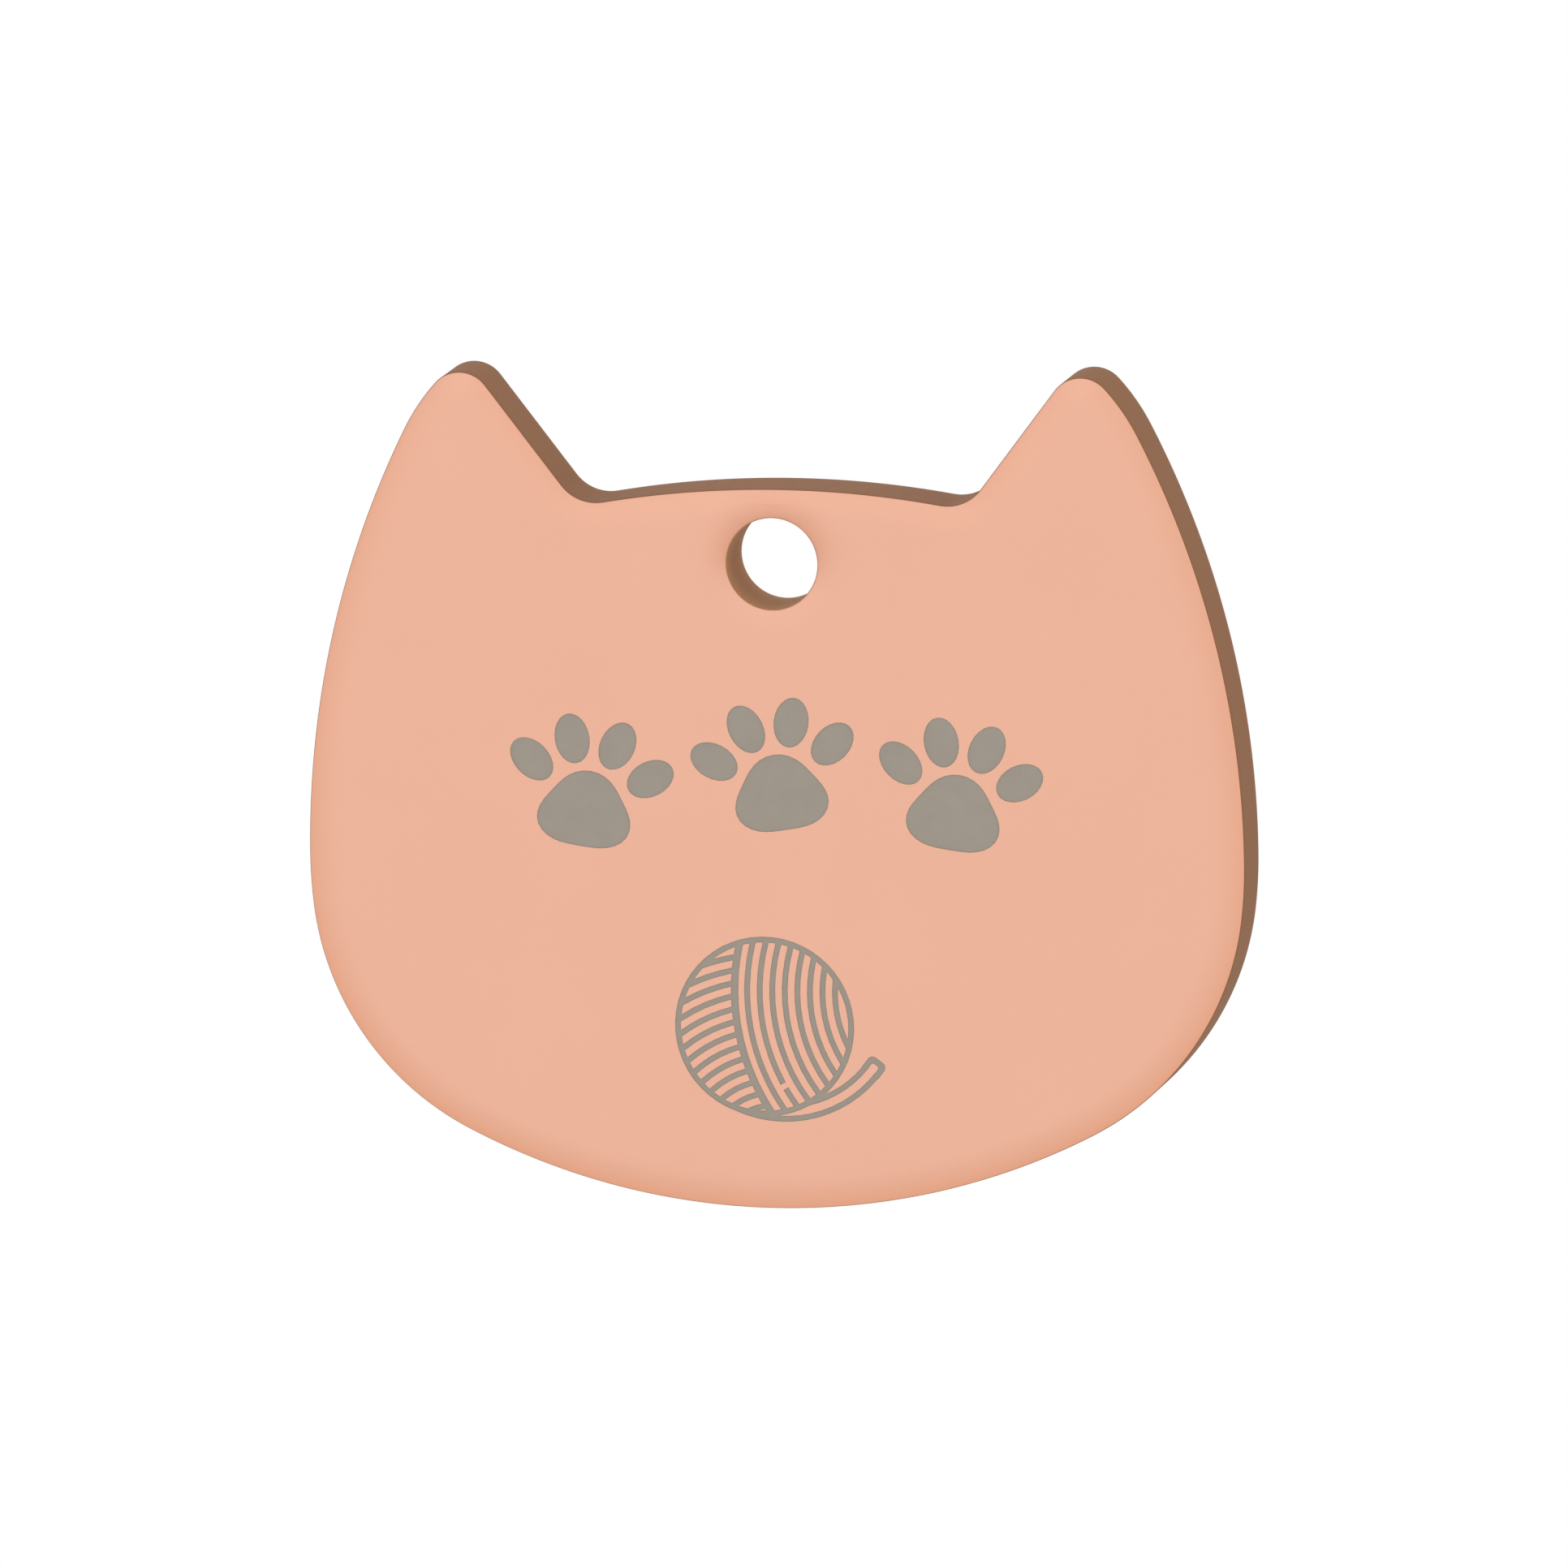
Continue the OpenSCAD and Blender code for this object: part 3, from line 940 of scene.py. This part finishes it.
class ShaderGraph(NodeGraph):
    """The nodes of a new material with a principled shader.

    Attributes:
        NOISE_SPAN: The values between which a noise mostly keeps.
        MIX_FIRST, MIX_SECOND, MIX_RESULT: Numbers of a Mix node's sockets for colours, which have
            the same names as its sockets for numbers.
    """

    NOISE_SPAN = (0.3, 0.7)
    MIX_FIRST = 6
    MIX_SECOND = 7
    MIX_RESULT = 2

    def __init__(self, name: str) -> None:
        """Makes the material.

        Args:
            name: Name of the material.
        """
        self.material = bpy.data.materials.new(name)
        self.material.use_nodes = True
        super().__init__(self.material.node_tree)
        self.shader = self.tree.nodes["Principled BSDF"]

    def set(self, **values: object) -> None:
        """Sets inputs of the principled shader, each by its name with underscores for spaces."""
        for name, value in values.items():
            self.shader.inputs[name.replace("_", " ")].default_value = value

    def noise(self, size: float, detail: float, stretch: Triple = (1.0, 1.0, 1.0)) -> Socket:
        """Adds a noise in object coordinates.

        Args:
            size: Size of its grains.
            detail: Number of finer octaves.
            stretch: Factor on each axis by which the grains are drawn out.

        Returns:
            Its value, about 0.5 on average.
        """
        place = self.add("TexCoord")
        mapping = self.add("Mapping")
        mapping.inputs["Scale"].default_value = [1 / (size * METRES_PER_MM * s) for s in stretch]
        texture = self.add("TexNoise")
        texture.inputs["Scale"].default_value = 1.0
        texture.inputs["Detail"].default_value = detail
        self.join(place.outputs["Object"], mapping.inputs["Vector"])
        self.join(mapping.outputs["Vector"], texture.inputs["Vector"])
        return texture.outputs["Fac"]

    def spread(self, noise: Socket, results: Pair = (0.0, 1.0)) -> Socket:
        """Carries the span that a noise mostly keeps to over to another."""
        return self.carried(noise, self.NOISE_SPAN, results)

    def blend(self, share: Socket, first: Colour | Socket, second: Colour | Socket) -> Socket:
        """Blends two colours.

        Args:
            share: How much of the second colour there is.
            first: A colour, or a socket that gives one.
            second: A colour, or a socket that gives one.

        Returns:
            The blend.
        """
        node = self.add("Mix", data_type="RGBA")
        self.join(share, node.inputs["Factor"])
        for number, colour in ((self.MIX_FIRST, first), (self.MIX_SECOND, second)):
            if isinstance(colour, Socket):
                self.join(colour, node.inputs[number])
            else:
                node.inputs[number].default_value = (*colour, 1.0)
        return node.outputs[self.MIX_RESULT]

    def grain(self, texture: Socket, roughness: Pair, depth: float) -> None:
        """Lets a texture set the roughness and raise the surface.

        Args:
            texture: The texture.
            roughness: Roughness in its hollows and on its peaks.
            depth: Height of its full range.
        """
        self.join(self.spread(texture, roughness), self.shader.inputs["Roughness"])
        bump = self.add("Bump")
        bump.inputs["Distance"].default_value = depth * METRES_PER_MM
        self.join(texture, bump.inputs["Height"])
        self.join(bump.outputs["Normal"], self.shader.inputs["Normal"])


@dataclass(frozen=True)
class RoseGoldFinish:
    """Satin anodised metal: blasted grain, faint colour clouds, painted shade on lower and side
    edges.
    """

    colour: Colour = (0.812, 0.439, 0.312)
    cloud: Colour = (0.800, 0.432, 0.306)
    cloud_size: float = 3.2
    cloud_detail: float = 3.0
    # Painted shade: deeper colours for lower and side edges and for the face just above the hole.
    edge_painted_shade: Colour = (0.810, 0.375, 0.225)
    hole_painted_shade: Colour = (0.725, 0.348, 0.222)
    metallic: float = 0.5
    roughness: Pair = (0.40, 0.47)
    grain: float = 0.075
    grain_detail: float = 2.0
    grain_depth: float = 0.0022

    def material(self) -> bpy.types.Material:
        """Makes the material."""
        graph = ShaderGraph("rose_gold_satin")
        graph.set(Metallic=self.metallic)
        clouds = graph.spread(graph.noise(self.cloud_size, self.cloud_detail))
        base = graph.blend(clouds, self.colour, self.cloud)
        # Blends the painted shade in, by the amounts stored on the plate's points.
        for kind, colour in ((PaintedShade.EDGE, self.edge_painted_shade), (PaintedShade.HOLE, self.hole_painted_shade)):
            share = graph.add("Attribute", attribute_name=kind.name)
            base = graph.blend(share.outputs["Fac"], base, colour)
        graph.join(base, graph.shader.inputs["Base Color"])
        blasting = graph.noise(self.grain, self.grain_detail)
        graph.grain(blasting, self.roughness, self.grain_depth)
        return graph.material


@dataclass(frozen=True)
class PaintedShadeWallFinish:
    """The side wall: brown painted shade of the rose gold over fine marks that run through the
    thickness.
    """

    name: str = "painted_shade_wall"
    # Painted shade: the plate's rose gold darkened to brown, as its side walls look in shade.
    colour: Colour = (0.236, 0.103, 0.043)
    light: Colour = (0.264, 0.120, 0.054)
    specular: float = 0.1
    roughness: Pair = (0.60, 0.75)
    mark_w: float = 0.05
    mark_stretch: Triple = (1.0, 30.0, 1.0)
    mark_detail: float = 3.0
    mark_depth: float = 0.003

    def material(self) -> bpy.types.Material:
        """Makes the material."""
        graph = ShaderGraph(self.name)
        graph.set(Specular_IOR_Level=self.specular)
        marks = graph.noise(self.mark_w, self.mark_detail, self.mark_stretch)
        base = graph.blend(graph.spread(marks), self.colour, self.light)
        graph.join(base, graph.shader.inputs["Base Color"])
        graph.grain(marks, self.roughness, self.mark_depth)
        return graph.material


@dataclass(frozen=True)
class PaintedShadeBoreFinish(PaintedShadeWallFinish):
    """The bore: the wall's brown painted shade made paler, as the hole's real shade darkens it too.
    """

    name: str = "painted_shade_bore"
    # Painted shade, paler than the wall's, since the hole's real shade darkens it further.
    colour: Colour = (0.44, 0.215, 0.092)
    light: Colour = (0.49, 0.25, 0.112)


@dataclass(frozen=True)
class EnamelFinish:
    """Matte grey enamel with fine pigment grain and faint broad patches."""

    colour: Colour = (0.324, 0.282, 0.234)
    light: Colour = (0.339, 0.296, 0.246)
    patch_size: float = 0.8
    patch_detail: float = 2.0
    roughness: Pair = (0.70, 0.85)
    grain: float = 0.06
    grain_detail: float = 3.0
    grain_depth: float = 0.002

    def material(self) -> bpy.types.Material:
        """Makes the material."""
        graph = ShaderGraph("grey_enamel")
        patches = graph.spread(graph.noise(self.patch_size, self.patch_detail))
        base = graph.blend(patches, self.colour, self.light)
        graph.join(base, graph.shader.inputs["Base Color"])
        pigment = graph.noise(self.grain, self.grain_detail)
        graph.grain(pigment, self.roughness, self.grain_depth)
        return graph.material


@dataclass(frozen=True)
class FloorFinish:
    """Pale and matte under the tag, and passing into the white surroundings further out.

    Attributes:
        fade_start, fade_end: Distances from the floor's middle, in metres, between which it turns
            white to the eye. The light that it gives off stays as it is.
    """

    colour: Colour = (0.9, 0.9, 0.9)
    roughness: float = 0.9
    fade_start: float = 0.12
    fade_end: float = 0.33

    def material(self) -> bpy.types.Material:
        """Makes the material."""
        graph = ShaderGraph("pale_floor")
        graph.set(Base_Color=(*self.colour, 1.0), Roughness=self.roughness)
        place = graph.add("TexCoord")
        distance = graph.add("VectorMath", operation="LENGTH")
        graph.join(place.outputs["Object"], distance.inputs[0])
        fade = (self.fade_start, self.fade_end)
        share = graph.carried(distance.outputs["Value"], fade, interpolation_type="SMOOTHSTEP")
        white = graph.add("Emission")
        white.inputs["Color"].default_value = graph.WHITE
        mix = graph.add("MixShader")
        graph.join(graph.combined("MULTIPLY", share, graph.seen_ray()), mix.inputs["Fac"])
        graph.join(graph.shader.outputs["BSDF"], mix.inputs[1])
        graph.join(white.outputs["Emission"], mix.inputs[2])
        graph.join(mix.outputs["Shader"], graph.tree.nodes["Material Output"].inputs["Surface"])
        return graph.material


@dataclass(frozen=True)
class Floor:
    """A level disc below the tag, its drop from the hole's middle and its radius in metres."""

    drop: float = 0.1
    radius: float = 1.0
    corners: int = 96
    finish: FloorFinish = FloorFinish()

    def build(self) -> None:
        """Makes the disc, its corners even about its middle."""
        flat = self.radius * circle(self.corners)
        ring = np.column_stack([flat, np.zeros(self.corners)])
        mesh = bpy.data.meshes.new("floor")
        mesh.from_pydata(ring.tolist(), [], [list(range(self.corners))])
        mesh.materials.append(self.finish.material())
        floor = bpy.data.objects.new("floor", mesh)
        floor.location.z = -self.drop
        bpy.context.scene.collection.objects.link(floor)


@dataclass(frozen=True)
class Lamp:
    """A soft oblong lamp that faces the tag and isn't itself in view.

    Attributes:
        azimuth, elevation: Where it stands, in degrees to the right and above.
        width, height, distance: Its size and its distance, in metres.
        radiance: How bright its surface is.
    """

    name: str
    azimuth: float
    elevation: float
    width: float
    height: float
    radiance: float
    distance: float = 0.62

    def build(self, target: Vector) -> None:
        """Makes the lamp, whose power is its radiance times its area times pi.

        Args:
            target: The point that it faces, in metres.
        """
        back = direction(self.azimuth, self.elevation)
        data = bpy.data.lights.new(self.name, "AREA")
        data.shape = "RECTANGLE"
        data.size, data.size_y = self.width, self.height
        data.energy = self.radiance * self.width * self.height * math.pi
        lamp = bpy.data.objects.new(self.name, data)
        lamp.location = target + back * self.distance
        lamp.rotation_mode = "QUATERNION"
        lamp.rotation_quaternion = (-back).to_track_quat("-Z", "Y")
        lamp.visible_camera = False
        bpy.context.scene.collection.objects.link(lamp)


@dataclass(frozen=True)
class Studio:
    """White surroundings, soft lamps all round, a pale floor below, and the camera.

    Attributes:
        world_level: Strength of the surroundings' light on dull surfaces, where 1 is white.
        azimuth, elevation: Where the camera stands, in degrees to the right and above.
        roll: Degrees by which the camera leans over.
        lens, sensor: Focal length and width of the camera's sensor, both in millimetres.
        clip_shares: Nearest and furthest distance in view, as shares of the camera's distance.
        frame_mm: Width of the picture at the tag.
        aim_mm: The point in the middle of the picture.
    """

    world_level: float = 0.92
    lamps: tuple[Lamp, ...] = (
        Lamp("front", azimuth=-11.0, elevation=0.0, width=0.28, height=0.56, radiance=0.55),
        Lamp("top", azimuth=25.0, elevation=62.0, width=0.5, height=0.3, radiance=0.4),
        Lamp("right", azimuth=72.0, elevation=15.0, width=0.3, height=0.5, radiance=0.6),
        Lamp("back", azimuth=186.0, elevation=4.0, width=0.4, height=0.5, radiance=0.4),
    )
    floor: Floor = Floor()
    azimuth: float = 10.3
    elevation: float = 8.3
    roll: float = 0.85
    lens: float = 900.0
    sensor: float = 36.0
    clip_shares: Pair = (0.1, 10.0)
    frame_mm: float = 51.0
    aim_mm: Triple = (0.31, -1.5, -7.21)

    def aim(self) -> Vector:
        """Gives the point in the middle of the picture, in metres."""
        return Vector(self.aim_mm) * METRES_PER_MM

    def add_world(self) -> None:
        """Makes the world: plain light on dull surfaces, and white to the eye and in reflections."""
        world = bpy.data.worlds.new("studio")
        world.use_nodes = True
        graph = NodeGraph(world.node_tree)
        level = graph.carried(graph.seen_ray(), results=(self.world_level, 1.0))
        background = graph.tree.nodes["Background"]
        background.inputs["Color"].default_value = graph.WHITE
        graph.join(level, background.inputs["Strength"])
        bpy.context.scene.world = world

    def add_camera(self) -> None:
        """Makes the camera, which looks from the right and a little above through a long lens.

        The distance gives the picture its width at the tag. A slight roll shares out the tilt
        that such a view gives to level and upright lines.
        """
        back = direction(self.azimuth, self.elevation)
        distance = self.frame_mm * METRES_PER_MM * self.lens / self.sensor
        data = bpy.data.cameras.new("camera")
        data.type = "PERSP"
        data.sensor_width = self.sensor
        data.lens = self.lens
        data.clip_start, data.clip_end = (distance * share for share in self.clip_shares)
        camera = bpy.data.objects.new("camera", data)
        camera.location = self.aim() + back * distance
        camera.rotation_mode = "QUATERNION"
        upright = (-back).to_track_quat("-Z", "Y")
        camera.rotation_quaternion = upright @ Quaternion((0, 0, 1), math.radians(-self.roll))
        bpy.context.scene.collection.objects.link(camera)
        bpy.context.scene.camera = camera

    def build(self) -> None:
        """Makes the whole studio and sets how colours are shown."""
        self.add_world()
        self.floor.build()
        for lamp in self.lamps:
            lamp.build(self.aim())
        self.add_camera()
        bpy.context.scene.view_settings.view_transform = "Standard"
        LOG.info("studio: %d lamps", len(self.lamps))


def main() -> None:
    """Builds the plate, the fills and the studio in order."""
    logging.basicConfig(level=logging.INFO, format="%(name)s: %(message)s")
    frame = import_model()
    low, high = (corner / METRES_PER_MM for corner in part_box("tag_plate"))
    fills = tuple(sorted(node for node in frame["nodes"] if node != "tag_plate"))
    outline = CatHeadOutline(width=high.x - low.x, ear_rise=high.z, chin_drop=-low.z)
    plate = TagPlate(outline, Engraving(fills), thickness=high.y - low.y)
    plate.build(
        {
            Zone.FACE: RoseGoldFinish().material(),
            # The wall and the bore get painted shade in place of a finish of their own.
            Zone.WALL: PaintedShadeWallFinish().material(),
            Zone.BORE: PaintedShadeBoreFinish().material(),
        }
    )
    EnamelFills(fills).dress(EnamelFinish().material())
    Studio().build()


if __name__ == "__main__":
    main()
